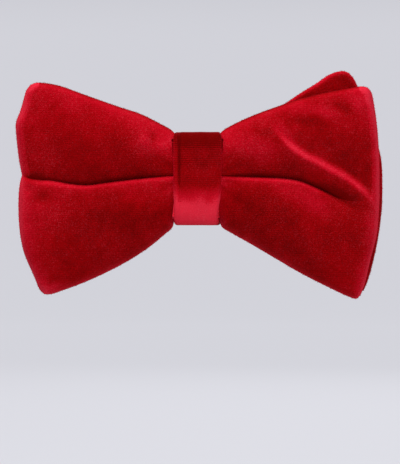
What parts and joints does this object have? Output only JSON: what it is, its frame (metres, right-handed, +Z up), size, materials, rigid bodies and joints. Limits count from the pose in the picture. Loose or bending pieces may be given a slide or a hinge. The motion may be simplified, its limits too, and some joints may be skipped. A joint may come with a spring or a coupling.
{
  "type": "bow tie",
  "caption": "Ready-tied velvet bow tie: two stacked bows under a wrapped knot, on an adjustable satin neckband with a hook, an eye and a slide.",
  "frame": {"origin": "centre of the flat back of the knot, where it lies on the shirt collar's button", "axes": "+X to the right of someone who faces the wearer, +Y back from the knot through the neck, +Z up"},
  "size_m": [0.1248, 0.1426, 0.0763],
  "materials": {
    "velvet": "crimson cotton velvet with a short dense pile",
    "interlining": "stiff woven interlining, off-white",
    "thread": "polyester sewing thread, dark red",
    "satin": "satin ribbon, dark red, low gloss",
    "nickel": "nickel-plated steel, bright",
    "label": "blank black woven label"
  },
  "bodies": {
    "bow": {"front_bow_face": "velvet", "front_bow_interlining": "interlining", "front_bow_back": "velvet", "back_bow_face": "velvet", "back_bow_interlining": "interlining", "back_bow_back": "velvet", "knot_velvet": "velvet", "knot_interlining": "interlining", "knot_closing_stitch": "thread", "waist_binding_thread": "thread", "band_centre": "satin"},
    "short_band": {"band_short": "satin", "band_short_bar_tack": "thread", "eye": "nickel", "blank_label": "label"},
    "long_band": {"band_long": "satin", "band_return": "satin", "hook": "nickel"},
    "slide": {"slide_buckle": "nickel", "band_end_loop": "satin", "band_end_bar_tack": "thread"}
  },
  "joints": [
    {"name": "band_open", "type": "hinge", "parent": "bow", "child": "long_band", "pos_m": [0.01055, -0.00311, 0], "axis": [0, 0, 1], "range_deg": [0, 30]},
    {"name": "short_band_open", "type": "hinge", "parent": "bow", "child": "short_band", "pos_m": [-0.01055, -0.00311, 0], "axis": [0, 0, 1], "range_deg": [0, 7.5]},
    {"name": "slide_travel", "type": "hinge", "parent": "long_band", "child": "slide", "pos_m": [0, 0.05799, 0], "axis": [0, 0, 1], "range_deg": [-140, 42], "deforming": ["band_return"]}
  ],
  "couplings": [
    {"joint": "short_band_open", "follows": "band_open", "ratio": 0.25}
  ]
}
